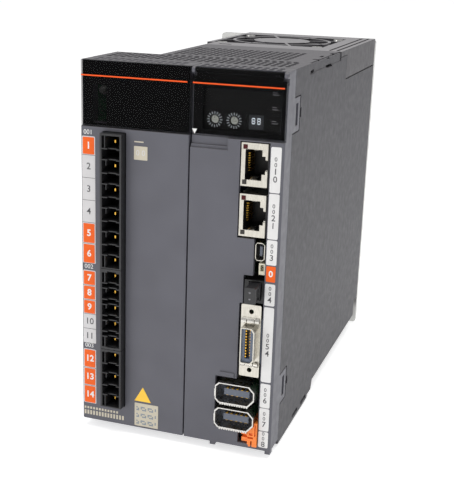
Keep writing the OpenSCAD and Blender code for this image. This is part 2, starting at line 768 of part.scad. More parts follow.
module safety_socket() color([0.14, 0.14, 0.15]) difference() {
    panel(safety, 0.3, 12);
    panel(plug, -1, plug_tail_y + 0.6, gap);
}

module short_circuit_plug() color([0.17, 0.17, 0.18]) difference() {
    union() {
        along_y(-plug_proud, 0) chamfered_rect(plug[0], plug[1], plug[2], plug[3], 0.5);
        panel(plug, -eps, plug_tail_y);
    }
    for (z = [plug[2] + 2.1, plug[3] - 2.4])
        block(79.6, 80.6, -plug_proud - 1, -plug_proud + 0.6, z, z + 0.5);
    block(plug[1] - 0.5, plug[1] + 1, -plug_proud + 1.5, -1, plug[2] + 1, plug[3] - 1);
}

module ribbon_plate() color("silver") difference() {
    union() {
        along_y(0, 1) rounded_rect(ribbon[0], ribbon[1], ribbon[2], ribbon[3], 0.6);
        for (s = [-1, 1]) rod_y(ribbon_mid_x, ribbon_mid_z + s * ribbon_screw_z, 2.2, 1 - eps, 5);
    }
    for (s = [-1, 1]) rod_y(ribbon_mid_x, ribbon_mid_z + s * ribbon_screw_z, 1.05, -1, 6);
    along_y(-1, 2) ribbon_d(0);
}

// D-shaped outline of the ribbon socket's shell, grown by m
module ribbon_d(m) polygon([
    [ribbon_shell_box[0] - m, ribbon_shell_box[2] - m + 0.4],
    [ribbon_shell_box[0] - m + 0.4, ribbon_shell_box[2] - m],
    [ribbon_shell_box[1] + m - 1.2, ribbon_shell_box[2] - m],
    [ribbon_shell_box[1] + m, ribbon_shell_box[2] - m + 1.6],
    [ribbon_shell_box[1] + m, ribbon_shell_box[3] + m - 1.6],
    [ribbon_shell_box[1] + m - 1.2, ribbon_shell_box[3] + m],
    [ribbon_shell_box[0] - m + 0.4, ribbon_shell_box[3] + m],
    [ribbon_shell_box[0] - m, ribbon_shell_box[3] + m - 0.4]
]);

module ribbon_shell() color("silver") difference() {
    along_y(-5, 1) ribbon_d(0);
    along_y(-6, 2) ribbon_d(-0.5);
}

// Block that fills the shell, with a slot between its two rows of contacts
module ribbon_insulator() color([0.35, 0.38, 0.45]) {
    difference() {
        along_y(-3.9, 1) ribbon_d(-0.5);
        block(ribbon_slot_x, ribbon_slot_x + 2.3, -5, -0.6, ribbon_mid_z - 6.6, ribbon_mid_z + 6.6);
    }
    block(ribbon[0] + 0.6, board_x, 1, 12, ribbon_mid_z - 10, ribbon_mid_z + 10);
}

module ribbon_contacts() color("gold")
    for (i = [0 : 9], side = [0, 1])
        translate([ribbon_slot_x + 0.15 + side * 1.5, side == 0 ? -3.7 : -2.4,
                   ribbon_mid_z - 0.3 + (i - 4.5) * 1.27])
            cube([0.5, side == 0 ? 3.1 : 1.8, 0.6]);

// Outline of an encoder socket: cut corners, larger at the right, grown by m
module encoder_outline(z, m) {
    x0 = encoder_x0 - m;
    x1 = encoder_x0 + encoder_w + m;
    z0 = z - m;
    z1 = z + encoder_h + m;
    polygon([
        [x0 + 1.6, z0], [x1 - 2.6, z0], [x1, z0 + 3], [x1, z1 - 2.4], [x1 - 2.3, z1],
        [x0 + 1.6, z1], [x0, z1 - 1.6], [x0, z0 + 1.6]
    ]);
}

module encoder_shell(z) color("gainsboro") {
    difference() {
        along_y(-2.5, 9) encoder_outline(z, 0);
        along_y(-4, 10) encoder_outline(z, -encoder_sheet);
    }
    // ribbed lower lip, and a spring bump at the left
    difference() {
        block(66.8, 79.6, -2.1, 0, z - 0.9, z + eps);
        for (i = [0 : 10]) block(67.5 + i * 1.1, 67.9 + i * 1.1, -3, -1.5, z - 2, z - 0.2);
    }
    block(encoder_x0 - 0.4, encoder_x0 + eps, -2, 1, z + 2.6, z + 6.2);
}

module upper_encoder_shell() encoder_shell(upper_encoder_z);

module lower_encoder_shell() encoder_shell(lower_encoder_z);

module encoder_inserts() color([0.12, 0.12, 0.13])
    for (z = [upper_encoder_z, lower_encoder_z]) {
        along_y(6, 9) encoder_outline(z, -encoder_sheet);
        block(68.6, 80, -1, 6 + eps, z + 3.7, z + 6.6);
    }

module encoder_contacts() color("gold")
    for (z = [upper_encoder_z, lower_encoder_z], i = [0 : 4], row = [z + 3.5, z + 6.6])
        block(69.5 + i * 2.2, 70.5 + i * 2.2, -0.8, 5, row, row + 0.2);

// Battery socket: an open shroud with a latch tower at its right and two arms to the left
module battery_socket() color("darkorange") {
    neck_x = 82.4;
    difference() {
        union() {
            panel(battery, 2, 12);
            block(79.8, board_x, battery_front_y, 2 + eps, battery[2], 5.2);
            block(80.3, board_x, battery_front_y, -0.1, 1.5, battery[2] + eps);
            block(battery[0], board_x, battery_front_y + 0.8, 2 + eps, 3.3, 5.2);
        }
        block(battery[0] + 0.9, battery[1] - 1, 2.6, 8, battery[2] + 0.9, battery[3] - 0.9);
        block(81.2, 81.9, battery_front_y - 1, 2.6, 1, 4.2);
    }
    difference() {
        along_y(battery_front_y, 4) polygon([
            [neck_x, 5.2 - eps], [board_x, 5.2 - eps], [board_x, 12.8], [82.7, 12.8], [82.7, 11.4],
            [80.9, 9.4], [79.8, 8.3], [79.8, 7.5], [battery[0] + 0.1, 7.5],
            [battery[0] + 0.1, 6.9], [79.4, 6.9], [79.8, 6], [neck_x, 6]
        ]);
        block(83, 83.5, battery_front_y - 1, battery_front_y + 0.9, 6.6, 12);
        block(80.6, 82.2, battery_front_y - 1, battery_front_y + 0.7, 6.8, 8);
    }
    block(82.6, board_x, 4 - eps, 12, battery[3] - eps, 13);
    for (x = [79.4, 81.4]) block(x, x + 0.6, 3.2, 8 + eps, battery[2] + 2.2, battery[2] + 2.8);
}

// ---------------------------------------------------------------- fan unit

// Finger guard: a disc, a ring and spokes that reach the edge of the opening
module guard_outline() {
    circle(r = guard_disc_r);
    difference() {
        circle(r = guard_ring_r + 0.8);
        circle(r = guard_ring_r - 0.8);
    }
    for (i = [0 : 7]) rotate(i * 45 + 22.5) translate([guard_disc_r - 1, -0.7])
        square([18, 1.4]);
}

// Left side of the fan cover, outside the body: a wall, its front and rear ends and the shelf
module fan_cover_side() {
    right = body_x - gap;
    block(fan_cover_x, fan_cover_x + fan_skirt_t, fan_skirt_y + gap, fan_rear_y, fan_shelf_z,
          fan_z1 + eps);
    block(fan_cover_x, right, fan_skirt_y + gap, fan_skirt_y + gap + fan_skirt_t, fan_shelf_z,
          fan_z1 + eps);
    block(fan_cover_x, right, fan_rear_y - wall, fan_rear_y, fan_shelf_z, fan_skirt_z + eps);
    block(fan_cover_x, right, fan_skirt_y + gap, fan_rear_y, fan_shelf_z, fan_shelf_z + 1.4);
}

module fan_cover() color([0.53, 0.52, 0.53]) {
    difference() {
        union() {
            block(body_x, case_w, fan_lip_y + gap, fan_rear_y, fan_z1, case_h);
            block(fan_cover_x, body_x + 1, fan_skirt_y + gap, fan_rear_y, fan_z1, case_h);
            block(case_w - wall, case_w, fan_skirt_y + gap, fan_rear_y, fan_skirt_z, fan_z1 + eps);
            block(fan_cover_x, case_w, fan_rear_y - wall, fan_rear_y, fan_skirt_z, fan_z1 + eps);
            fan_cover_side();
        }
        block(fan_x - fan_open / 2, fan_x + fan_open / 2, fan_y - fan_open / 2,
              fan_y + fan_open / 2, fan_z1 - 1, case_h + 1);
        // two long grooves, and a small square hole in front of the fan
        for (x = [82.9, 86.5])
            block(x, x + groove_w, fan_lip_y + 3, case_d - 4, case_h - 1.6, case_h + 1);
        block(26, 32.4, 103.4, 106, fan_z1 - 1, case_h + 1);
    }
    translate([fan_x, fan_y, case_h - guard_t]) linear_extrude(guard_t) intersection() {
        guard_outline();
        square(fan_open + 0.2, center = true);
    }
}

module fan_frame() color([0.08, 0.08, 0.08]) {
    half = fan_w / 2;
    difference() {
        along_z(fan_z0, fan_z1) rounded_rect(fan_x - half, fan_x + half, fan_y - half,
                                             fan_y + half, 3);
        translate([fan_x, fan_y, fan_z0 - 1]) cylinder(r = fan_bore_r, h = fan_h + 2);
        for (s = fan_screw_at) translate([s[0], s[1], fan_z0 - 1])
            cylinder(r = 1.7, h = fan_h + 2);
    }
    // motor mount on three struts, with the bearing tube
    difference() {
        translate([fan_x, fan_y, fan_z0]) {
            cylinder(r = 13.6, h = 2);
            cylinder(r = 4, h = 12);
            for (a = [30, 150, 270]) rotate(a) translate([12, -1, 0]) cube([fan_bore_r - 11.8, 2, 2]);
        }
        translate([fan_x, fan_y, fan_z0 + 1.4]) cylinder(r = shaft_r + running, h = fan_h);
    }
}

module fan_rotor() color([0.12, 0.12, 0.12]) translate([fan_x, fan_y, fan_z0]) {
    difference() {
        translate([0, 0, rotor_z0]) cylinder(r = fan_hub_r, h = rotor_z1 - rotor_z0);
        translate([0, 0, rotor_z0 - 1]) cylinder(r = fan_hub_r - 1.8, h = rotor_z1 - rotor_z0 - 1);
    }
    translate([0, 0, 2]) cylinder(r = shaft_r, h = rotor_z1 - 3);
    intersection() {
        for (i = [0 : blade_count - 1]) rotate(i * 360 / blade_count)
            translate([fan_hub_r - 0.5, 0, (rotor_z0 + rotor_z1) / 2]) rotate([52, 0, 0])
                translate([0, -0.6, -8]) cube([fan_bore_r - fan_hub_r, 1.2, 16]);
        translate([0, 0, rotor_z0 + 0.4]) difference() {
            cylinder(r = fan_bore_r - 0.7, h = rotor_z1 - rotor_z0 - 0.8);
            translate([0, 0, -1]) cylinder(r = fan_hub_r - 0.4, h = fan_h);
        }
    }
}

module fan_screws() color("gainsboro")
    for (s = fan_screw_at) translate([s[0], s[1], fan_z1]) difference() {
        union() {
            cylinder(r = 2.6, h = fan_screw_head_h);
            translate([0, 0, -fan_h + 3]) cylinder(r = 1.6, h = fan_h - 3 + eps);
        }
        for (a = [0, 90])
            rotate(a) translate([0, 0, fan_screw_head_h]) cube([3, 0.6, 1.4], center = true);
    }

// ---------------------------------------------------------------- assembly

place() mounting_plate();
place() fin_base();
place() cooling_fins();
place() earth_screws();
place() power_module();
place() rectifier_module();
place() board_standoffs();
place() power_board();
place() board_screws();
place() link_capacitors();
place() transformer();
place() inrush_relay();
place() current_sensors();
place() terminal_board();
place() control_board();
place() control_chips();
place() lamp_board();
place() charge_lamp();
place() main_case();
place() power_cover();
place() control_cover();
place() charge_window();
place() window_stripe();
place() display_cover();
place() display_stripe();
place() display_bezel();
place() display_board();
place() segment_display();
place() rotary_switch_bodies();
place() address_knob_left();
place() address_knob_right();
place() mains_header();
place() link_header();
place() motor_header();
place() power_pins();
place() upper_jack_shield();
place() lower_jack_shield();
place() upper_jack_insert();
place() lower_jack_insert();
place() jack_contacts();
place() jack_lamps();
place() jack_status_lamps();
place() usb_shell();
place() usb_tongue();
place() monitor_header();
place() safety_socket();
place() short_circuit_plug();
place() ribbon_plate();
place() ribbon_shell();
place() ribbon_insulator();
place() ribbon_contacts();
place() upper_encoder_shell();
place() lower_encoder_shell();
place() encoder_inserts();
place() encoder_contacts();
place() battery_socket();
place() fan_cover();
place() fan_frame();
place() fan_rotor();
place() fan_screws();
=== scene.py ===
"""Servo drive: finishes, printed marks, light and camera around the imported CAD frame."""
import math

import bmesh
import bpy
from mathutils import Matrix, Vector


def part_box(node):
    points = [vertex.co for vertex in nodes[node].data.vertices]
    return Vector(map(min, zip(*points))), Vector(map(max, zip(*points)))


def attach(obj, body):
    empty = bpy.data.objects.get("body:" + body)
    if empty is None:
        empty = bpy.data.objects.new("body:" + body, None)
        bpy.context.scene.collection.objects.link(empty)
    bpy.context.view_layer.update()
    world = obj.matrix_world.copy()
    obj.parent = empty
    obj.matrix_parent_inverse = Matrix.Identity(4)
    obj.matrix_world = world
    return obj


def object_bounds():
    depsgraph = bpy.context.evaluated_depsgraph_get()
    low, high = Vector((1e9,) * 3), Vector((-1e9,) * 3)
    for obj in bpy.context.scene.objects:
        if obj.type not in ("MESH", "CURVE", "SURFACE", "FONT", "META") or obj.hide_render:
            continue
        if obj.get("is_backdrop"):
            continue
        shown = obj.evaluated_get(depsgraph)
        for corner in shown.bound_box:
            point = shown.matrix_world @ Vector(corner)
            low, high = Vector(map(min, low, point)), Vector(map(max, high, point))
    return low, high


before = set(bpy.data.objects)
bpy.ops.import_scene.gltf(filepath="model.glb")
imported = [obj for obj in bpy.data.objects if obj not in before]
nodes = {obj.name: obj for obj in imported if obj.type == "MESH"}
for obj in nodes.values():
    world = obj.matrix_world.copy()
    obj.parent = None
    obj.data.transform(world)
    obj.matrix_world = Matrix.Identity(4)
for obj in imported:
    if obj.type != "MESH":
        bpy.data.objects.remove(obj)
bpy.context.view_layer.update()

MM = 0.001
# lower left corner of the front, which the measures below start from
CORNER = Vector(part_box("power_cover")[0])
FRONT_Y = 0.0
# thickness of printed ink, of a sticker and of the black film behind a window
INK = 0.03
STICKER = 0.08
FILM = 0.1
# inner face of the window and of the display cover
WINDOW_BACK = 1.7
# axis of the display cover's hinge, and the radius of the black core in its round edge
HINGE_Y = 1.3
HINGE_Z = 162.6
CORE_R = 1.05


def at(x, y, z):
    """The point x across, y behind and z up from the front's corner, in millimetres."""
    return CORNER + Vector((x, y, z)) * MM


def box_mm(name):
    """Lower and upper corner of a CAD node, in millimetres from the front's corner."""
    low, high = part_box(name)
    return (Vector(low) - CORNER) / MM, (Vector(high) - CORNER) / MM


def linear(code):
    """A display colour such as 62626a as linear light."""
    levels = [int(code[i : i + 2], 16) / 255 for i in (0, 2, 4)]
    return tuple(v / 12.92 if v <= 0.04045 else ((v + 0.055) / 1.055) ** 2.4 for v in levels)


# ---------------------------------------------------------------- materials


class Tree:
    """A material's nodes, with short calls for the ones used here."""

    def __init__(self, name, **sockets):
        self.material = bpy.data.materials.new(name)
        self.material.use_nodes = True
        self.nodes = self.material.node_tree.nodes
        self.links = self.material.node_tree.links
        self.shader = self.nodes["Principled BSDF"]
        self.place = self.nodes.new("ShaderNodeTexCoord").outputs["Object"]
        for socket, value in sockets.items():
            self.shader.inputs[socket.replace("_", " ")].default_value = value

    def link(self, source, target):
        """Wires an output to an input."""
        self.links.new(source, target)

    def noise(self, size, detail=3.0, stretch=(1, 1, 1)):
        """Noise whose lumps are size millimetres across, longer along an axis by stretch."""
        node = self.nodes.new("ShaderNodeTexNoise")
        node.inputs["Scale"].default_value = 1 / (size * MM)
        node.inputs["Detail"].default_value = detail
        self.links.new(self.scaled(stretch), node.inputs["Vector"])
        return node.outputs["Fac"]

    def scaled(self, stretch):
        """Object coordinates, drawn out along each axis by stretch."""
        if tuple(stretch) == (1, 1, 1):
            return self.place
        node = self.nodes.new("ShaderNodeMapping")
        node.inputs["Scale"].default_value = [1 / s for s in stretch]
        self.links.new(self.place, node.inputs["Vector"])
        return node.outputs["Vector"]

    def spread(self, source, low, high, start=0.3, end=0.7):
        """source from start to end, as low to high."""
        node = self.nodes.new("ShaderNodeMapRange")
        ends = {"From Min": start, "From Max": end, "To Min": low, "To Max": high}
        for socket, value in ends.items():
            node.inputs[socket].default_value = value
        self.links.new(source, node.inputs["Value"])
        return node.outputs["Result"]

    def mix(self, factor, a, b):
        """Colour a where factor is 0 and b where it is 1; each is a colour or a socket."""
        node = self.nodes.new("ShaderNodeMix")
        node.data_type = "RGBA"
        self.links.new(factor, node.inputs["Factor"])
        for socket, value in ((node.inputs[6], a), (node.inputs[7], b)):
            if isinstance(value, tuple):
                socket.default_value = (*value[:3], 1)
            else:
                self.links.new(value, socket)
        return node.outputs[2]

    def join(self, kind, a, b):
        """The result of a maths node; each operand is a number or a socket."""
        node = self.nodes.new("ShaderNodeMath")
        node.operation = kind
        for socket, value in zip(node.inputs, (a, b)):
            if isinstance(value, (int, float)):
                socket.default_value = value
            else:
                self.links.new(value, socket)
        return node.outputs["Value"]

    def relief(self, height, depth):
        """Bumps the surface by height times depth millimetres."""
        node = self.nodes.new("ShaderNodeBump")
        node.inputs["Distance"].default_value = depth * MM
        node.inputs["Strength"].default_value = 1.0
        self.links.new(height, node.inputs["Height"])
        self.links.new(node.outputs["Normal"], self.shader.inputs["Normal"])


def shade(colour, by):
    """A linear colour made darker or lighter by a factor."""
    return tuple(min(1.0, c * by) for c in colour)


def moulded(name, colour, rough=0.5, grain=0.45, depth=0.02, blotch=14, shading=0.07, painted_top_light=None,
            **sockets):
    """Moulded plastic or paint: fine grain, faint cloudiness and uneven gloss; the top colour,
    when given, is painted on faces that look up as painted light from above."""
    t = Tree(name, **sockets)
    base = linear(colour)
    cloud = t.spread(t.noise(blotch, 4), 0, 1)
    tone = t.mix(cloud, shade(base, 1 - shading), shade(base, 1 + shading))
    # painted light: faces that look up are blended towards a lighter colour, as if lit from above
    if painted_top_light:
        split = t.nodes.new("ShaderNodeSeparateXYZ")
        t.links.new(t.nodes.new("ShaderNodeNewGeometry").outputs["Normal"], split.inputs["Vector"])
        tone = t.mix(t.spread(split.outputs["Z"], 0, 1, 0.3, 0.9), tone, linear(painted_top_light))
    t.link(tone, t.shader.inputs["Base Color"])
    t.link(t.spread(t.noise(blotch / 4, 3), rough - 0.06, rough + 0.06), t.shader.inputs["Roughness"])
    t.relief(t.noise(grain, 2), depth)
    return t.material


def metal(name, colour, rough=0.3, scratch=(1, 1, 1), size=0.5, depth=0.01, shading=0.1, **sockets):
    """Bare or plated metal with rolling marks along scratch and uneven gloss."""
    t = Tree(name, Metallic=1.0, **sockets)
    base = linear(colour)
    marks = t.noise(size, 5, scratch)
    t.link(t.mix(t.spread(marks, 0, 1), shade(base, 1 - shading), shade(base, 1 + shading)),
           t.shader.inputs["Base Color"])
    t.link(t.spread(t.noise(size * 8, 4), rough - 0.08, rough + 0.1), t.shader.inputs["Roughness"])
    t.relief(marks, depth)
    return t.material


def cast_aluminium():
    """Extruded and machined aluminium: fine lines up the plate, dull patches."""
    t = Tree("cast_aluminium", Metallic=1.0)
    lines = t.noise(0.35, 4, (1, 1, 30))
    patches = t.spread(t.noise(18, 5), 0, 1)
    t.link(t.mix(patches, linear("bdbdbb"), linear("d2d2cf")), t.shader.inputs["Base Color"])
    t.link(t.spread(t.noise(6, 4), 0.34, 0.5), t.shader.inputs["Roughness"])
    t.relief(lines, 0.02)
    return t.material


def circuit_board():
    """Green board: brighter copper tracks under the mask, and tinned pads in rows."""
    t = Tree("board_green", IOR=1.5)
    tracks = []
    for turn in (0, math.pi / 2):
        wave = t.nodes.new("ShaderNodeTexWave")
        wave.inputs["Scale"].default_value = 160
        wave.inputs["Distortion"].default_value = 3
        wave.inputs["Detail"].default_value = 0
        wave.inputs["Detail Scale"].default_value = 30
        wave.bands_direction = "DIAGONAL" if turn == 0 else "Z"
        t.links.new(t.place, wave.inputs["Vector"])
        tracks.append(t.spread(wave.outputs["Fac"], 0, 1, 0.78, 0.84))
    field = t.spread(t.noise(9, 1), 0, 1, 0.48, 0.5)
    copper = t.join("MULTIPLY", t.join("MAXIMUM", tracks[0], tracks[1]), field)
    pads = t.nodes.new("ShaderNodeTexVoronoi")
    pads.inputs["Scale"].default_value = 1 / (2.4 * MM)
    pads.inputs["Randomness"].default_value = 0.35
    t.links.new(t.place, pads.inputs["Vector"])
    tin = t.spread(pads.outputs["Distance"], 1, 0, 0.2, 0.24)
    mask = t.mix(copper, linear("14502e"), linear("24713f"))
    t.link(t.mix(tin, mask, linear("c9c9c2")), t.shader.inputs["Base Color"])
    t.link(t.spread(t.noise(3, 3), 0.28, 0.42), t.shader.inputs["Roughness"])
    t.relief(t.join("ADD", copper, tin), 0.04)
    return t.material


def wound_tape():
    """Yellow tape in layers round a transformer."""
    t = Tree("transformer_tape")
    wave = t.nodes.new("ShaderNodeTexWave")
    wave.bands_direction = "Z"
    wave.inputs["Scale"].default_value = 60
    wave.inputs["Distortion"].default_value = 0.6
    t.links.new(t.place, wave.inputs["Vector"])
    t.link(t.mix(t.spread(wave.outputs["Fac"], 0, 1), linear("c9b25c"), linear("e0cd7d")),
           t.shader.inputs["Base Color"])
    t.link(t.spread(t.noise(2), 0.3, 0.45), t.shader.inputs["Roughness"])
    t.relief(wave.outputs["Fac"], 0.06)
    return t.material


def smoked(name, clear):
    """Smoked glossy plastic that lets clear of the light through each face."""
    t = Tree(name, Alpha=1 - clear, IOR=1.16)
    base = linear("060607")
    t.link(t.mix(t.spread(t.noise(30, 3), 0, 1), shade(base, 0.8), shade(base, 1.3)),
           t.shader.inputs["Base Color"])
    t.link(t.spread(t.noise(5, 4), 0.06, 0.13), t.shader.inputs["Roughness"])
    t.relief(t.noise(12, 2), 0.01)
    return t.material


def printed(name, colour, rough=0.45, **sockets):
    """Ink or a printed sticker: fine fibre and a faint sheen."""
    return moulded(name, colour, rough=rough, grain=0.2, depth=0.004, blotch=6, shading=0.03,
                   **sockets)


def lamp_plastic(name, colour):
    """Tinted lens of a lamp that is off."""
    t = Tree(name, IOR=1.3, Transmission_Weight=0.2)
    base = linear(colour)
    t.link(t.mix(t.spread(t.noise(1.2, 3), 0, 1), shade(base, 0.8), shade(base, 1.2)),
           t.shader.inputs["Base Color"])
    t.link(t.spread(t.noise(0.8, 2), 0.15, 0.3), t.shader.inputs["Roughness"])
    t.relief(t.noise(0.4, 2), 0.01)
    return t.material


FINISH = {
    "cast_aluminium": cast_aluminium(),
    "screw_steel": metal("screw_steel", "c4c3c0", 0.3, size=0.3),
    "module_grey": moulded("module_grey", "37373a", 0.55),
    "standoff_brass": metal("standoff_brass", "b89a55", 0.3),
    "board_green": circuit_board(),
    "capacitor_sleeve": moulded("capacitor_sleeve", "20263c", 0.3, grain=2, depth=0.03),
    "transformer_tape": wound_tape(),
    "relay_blue": moulded("relay_blue", "3b6ea5", 0.4),
    "chip_black": moulded("chip_black", "1d1d1f", 0.5, grain=0.2),
    "lamp_clear": lamp_plastic("lamp_clear", "9a9c98"),
    # painted light: the tops of the case and the covers are painted lighter than their sides
    "case_grey": moulded("case_grey", "3b3a3f", 0.6, grain=0.4, depth=0.012, painted_top_light="5f5d60"),
    "cover_grey": moulded("cover_grey", "56565e", 0.5, grain=0.5, depth=0.015, painted_top_light="5f5d60"),
    "smoked_window": smoked("smoked_window", 0.62),
    "smoked_cover": smoked("smoked_cover", 0.8),
    "stripe_orange": printed("stripe_orange", "f0560f", 0.45, Specular_IOR_Level=0.3),
    "bezel_black": moulded("bezel_black", "070708", 0.5, Specular_IOR_Level=0.2),
    "display_black": moulded("display_black", "2a2d33", 0.35),
    "switch_white": moulded("switch_white", "cfcfc8", 0.5),
    "knob_grey": moulded("knob_grey", "dcdfd7", 0.45, grain=0.3),
    "header_black": moulded("header_black", "232325", 0.45, grain=0.35, depth=0.02),
    "pin_gold": metal("pin_gold", "e2b04a", 0.22, (1, 6, 1), 0.2, 0.004),
    "shield_steel": metal("shield_steel", "c6c2b8", 0.32, (1, 1, 8), 0.3, 0.01),
    "insert_black": moulded("insert_black", "141415", 0.45, grain=0.3),
    "lamp_red": lamp_plastic("lamp_red", "4c0b10"),
    "lamp_grey": lamp_plastic("lamp_grey", "3e3b38"),
    "tongue_grey": moulded("tongue_grey", "5d6370", 0.45, grain=0.25),
    "insulator_blue": moulded("insulator_blue", "5b6577", 0.45, grain=0.25),
    "header_ivory": moulded("header_ivory", "d8d2bd", 0.45, grain=0.3),
    "plug_black": moulded("plug_black", "29292b", 0.45, grain=0.3),
    "encoder_steel": metal("encoder_steel", "cfcdc9", 0.28, (1, 8, 1), 0.3, 0.01),
    "socket_orange": moulded("socket_orange", "f5822f", 0.4, grain=0.3),
    # painted reflection: the fan cover's top is painted much lighter, standing in for light from
    # behind glancing off it
    "fan_cover_grey": moulded("fan_cover_grey", "3f3d41", 0.55, grain=0.6, depth=0.02, painted_top_light="858385"),
    "fan_black": moulded("fan_black", "1c1c1d", 0.5, grain=0.4),
}
INKS = {
    "white": printed("ink_white", "e6e5e3", 0.5),
    "dark": printed("ink_dark", "4b4b4e", 0.5),
    "mid": printed("ink_mid", "737276", 0.5),
    "paper": printed("sticker_grey_white", "cccacb", 0.42),
    "bright_paper": printed("sticker_white", "dcdbda", 0.42),
    "orange": printed("sticker_orange", "ea5f10", 0.45, Specular_IOR_Level=0.3),
    "backing": printed("window_backing", "040405", 0.7, Specular_IOR_Level=0.1),
    "yellow": printed("sticker_yellow", "f6c63c", 0.42),
    "beige": printed("sticker_beige", "c3bba8", 0.5),
    "faint": printed("ink_faint", "7d8791", 0.5),
    "tick": printed("ink_tick", "e4edf4", 0.5),
    "segment": printed("ink_segment", "e6eef4", 0.4, Emission_Color=(0.8, 0.9, 1, 1),
                       Emission_Strength=0.9),
    "spring": metal("spring_steel", "dedbd4", 0.25, size=0.3),
}

# Edge radii of the moulded and bent pieces, in millimetres
EDGES = {
    "main_case": 0.35, "power_cover": 0.35, "control_cover": 0.35, "charge_window": 0.3,
    "display_cover": 0.3, "fan_cover": 0.3, "mounting_plate": 0.3, "fin_base": 0.3,
    "mains_header": 0.14, "link_header": 0.14, "motor_header": 0.14, "upper_jack_shield": 0.1,
    "lower_jack_shield": 0.1, "usb_shell": 0.08, "short_circuit_plug": 0.15,
    "ribbon_plate": 0.12, "ribbon_shell": 0.1, "upper_encoder_shell": 0.12,
    "lower_encoder_shell": 0.12, "battery_socket": 0.15, "safety_socket": 0.15,
    "monitor_header": 0.1, "fan_frame": 0.25, "fan_rotor": 0.15, "power_pins": 0.12,
    "address_knob_left": 0.08, "address_knob_right": 0.08, "fan_screws": 0.12,
    "earth_screws": 0.12, "inrush_relay": 0.5, "transformer": 0.4, "power_module": 0.5,
    "rectifier_module": 0.5, "current_sensors": 0.3, "control_chips": 0.1,
}


def round_edges(node, radius):
    """Bevels a CAD node's edges by modifiers, which leave its vertices alone."""
    weld = node.modifiers.new("weld", "WELD")
    weld.merge_threshold = 0.002 * MM
    bevel = node.modifiers.new("edges", "BEVEL")
    bevel.width = radius * MM
    bevel.segments = 2
    bevel.limit_method = "ANGLE"
    bevel.angle_limit = math.radians(35)
    bevel.harden_normals = True


for name, node in nodes.items():
    for material_slot in node.material_slots:
        material_slot.material = FINISH[material_slot.material.name.split(".")[0]]
    if name in EDGES:
        round_edges(node, EDGES[name])

# ---------------------------------------------------------------- pieces
#
# Places and sizes of the pieces are in millimetres from the front's corner.


def finish_piece(name, mesh_data, material, body):
    """Makes a piece of the object from a bmesh and lets it ride on its body."""
    mesh = bpy.data.meshes.new(name)
    bmesh.ops.recalc_face_normals(mesh_data, faces=mesh_data.faces)
    mesh_data.to_mesh(mesh)
    mesh_data.free()
    mesh.materials.append(material)
    piece = bpy.data.objects.new(name, mesh)
    bpy.context.scene.collection.objects.link(piece)
    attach(piece, body)


def rounded_outline(x0, x1, z0, z1, radius, steps=5):
    """Corner points of a rectangle with round corners, anticlockwise seen from the front."""
    points = []
    corners = [(x1 - radius, z1 - radius, 0), (x0 + radius, z1 - radius, 90),
               (x0 + radius, z0 + radius, 180), (x1 - radius, z0 + radius, 270)]
    for cx, cz, start in corners:
        for i in range(steps + 1):
            a = math.radians(start + 90 * i / steps)
            points.append((cx + radius * math.cos(a), cz + radius * math.sin(a)))
    return points


def rectangle(x0, x1, z0, z1):
    """Corner points of a rectangle, anticlockwise seen from the front."""
    return [(x1, z0), (x1, z1), (x0, z1), (x0, z0)]


def add_slab(mesh_data, outline, front, back):
    """A flat slab of that outline in x and z, from front to back in y."""
    faces = []
    for y in (front, back):
        faces.append([mesh_data.verts.new(at(x, y, z)) for x, z in outline])
    mesh_data.faces.new(faces[0][::-1])
    mesh_data.faces.new(faces[1])
    count = len(outline)
    for i in range(count):
        j = (i + 1) % count
        mesh_data.faces.new([faces[0][i], faces[0][j], faces[1][j], faces[1][i]])


def add_strip(mesh_data, path, x0, x1, thickness):
    """A strip of sheet that follows path in y and z, from x0 to x1 across."""
    rings = []
    for i, (y, z) in enumerate(path):
        along = Vector(path[min(i + 1, len(path) - 1)]) - Vector(path[max(i - 1, 0)])
        side = Vector((-along.y, along.x)).normalized() * thickness / 2
        rings.append([mesh_data.verts.new(at(x, y + side.x * s, z + side.y * s))
                      for x, s in ((x0, -1), (x1, -1), (x1, 1), (x0, 1))])
    for near, far in zip(rings, rings[1:]):
        for i in range(4):
            j = (i + 1) % 4
            mesh_data.faces.new([near[i], near[j], far[j], far[i]])
    mesh_data.faces.new(rings[0])
    mesh_data.faces.new(rings[-1])


# Height of a capital as a part of the font's size
FONT_CAP = 0.7


def stickers(name, boxes, material, front, body="drive", radius=0.6, thickness=STICKER):
    """Stickers or printed patches, each box as x0, x1, z0, z1."""
    mesh_data = bmesh.new()
    for x0, x1, z0, z1 in boxes:
        add_slab(mesh_data, rounded_outline(x0, x1, z0, z1, radius), front - thickness, front)
    finish_piece(name, mesh_data, material, body)


def words(name, items, material, front, bold=0.0):
    """Raised ink numerals; each item is its text, centre x, centre z, height and quarter turns."""
    mesh_data = bmesh.new()
    for text, x, z, height, turns in items:
        curve = bpy.data.curves.new(name + "_outline", "FONT")
        curve.body = text
        curve.align_x = "CENTER"
        curve.align_y = "CENTER"
        curve.size = height / FONT_CAP * MM
        curve.extrude = INK / 2 * MM
        curve.offset = height * bold * MM
        curve.resolution_u = 3
        holder = bpy.data.objects.new(name + "_outline", curve)
        bpy.context.scene.collection.objects.link(holder)
        bpy.context.view_layer.update()
        glyphs = bpy.data.meshes.new_from_object(
            holder.evaluated_get(bpy.context.evaluated_depsgraph_get()))
        upright = Matrix.Rotation(math.radians(90), 4, "X")
        turn = upright @ Matrix.Rotation(turns * math.pi / 2, 4, "Z")
        glyphs.transform(Matrix.Translation(at(x, front - INK / 2, z)) @ turn)
        mesh_data.from_mesh(glyphs)
        bpy.data.objects.remove(holder)
        bpy.data.curves.remove(curve)
        bpy.data.meshes.remove(glyphs)
    finish_piece(name, mesh_data, material, "drive")


